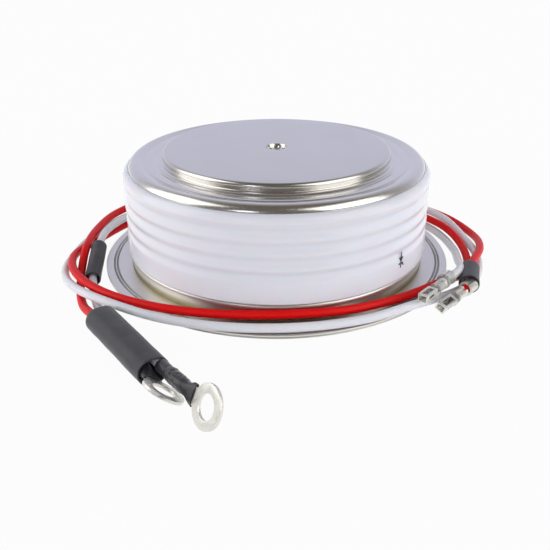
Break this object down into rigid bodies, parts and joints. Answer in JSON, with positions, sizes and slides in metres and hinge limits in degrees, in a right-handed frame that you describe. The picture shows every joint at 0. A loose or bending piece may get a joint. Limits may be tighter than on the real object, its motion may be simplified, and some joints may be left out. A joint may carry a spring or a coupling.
{
  "type": "press-pack thyristor",
  "caption": "Disc-shaped power thyristor with a grooved ceramic ring between two flat pole faces, and a loose gate and auxiliary-cathode lead set with receptacles and ring terminals.",
  "frame": {"origin": "centre of the anode pole face, on which the part stands", "axes": "+Z along the disc's axis from the anode to the cathode pole face; the two terminal pins point to the rear, +Y lies midway between them; the receptacles lie to +X, the ring terminals to the front left"},
  "size_m": [0.093, 0.107, 0.026],
  "materials": {
    "nickel_plate": "satin nickel plating on copper",
    "flange_plate": "satin nickel plating on formed sheet",
    "glazed_ceramic": "white glazed alumina",
    "silicon": "dark polished silicon",
    "molybdenum": "ground grey metal",
    "edge_rubber": "white silicone rubber",
    "ivory_plastic": "moulded plastic",
    "gold_plate": "gold plating",
    "tin_plate": "bright tin plating",
    "spring_wire": "drawn spring wire",
    "white_insulation": "extruded white insulation",
    "red_insulation": "extruded red insulation",
    "black_sleeve": "heat-shrunk black sleeve"
  },
  "bodies": {
    "root": {"cathode_pole": "nickel_plate", "upper_flange": "flange_plate", "ceramic_ring": "glazed_ceramic", "lower_flange": "flange_plate", "pole_flange": "flange_plate", "anode_pole": "nickel_plate", "silicon_wafer": "silicon", "wafer_edge_coat": "edge_rubber", "anode_disc": "molybdenum", "cathode_disc": "molybdenum", "centering_ring": "ivory_plastic", "gate_contact": "gold_plate", "gate_spring": "spring_wire", "gate_insulator": "ivory_plastic", "inner_gate_lead": "tin_plate", "inner_lead_sleeve": "ivory_plastic", "inner_cathode_lead": "tin_plate", "gate_tube": "nickel_plate", "gate_pin": "gold_plate", "cathode_tube": "nickel_plate", "cathode_pin": "gold_plate", "gate_lead": "white_insulation", "cathode_lead": "red_insulation", "gate_receptacle": "tin_plate", "cathode_receptacle": "tin_plate", "receptacle_sleeve": "black_sleeve", "lead_sleeve": "black_sleeve", "bundle_sleeve": "black_sleeve", "gate_ring_terminal": "tin_plate", "cathode_ring_terminal": "tin_plate", "gate_ring_sleeve": "black_sleeve", "cathode_ring_sleeve": "black_sleeve"}
  },
  "joints": []
}
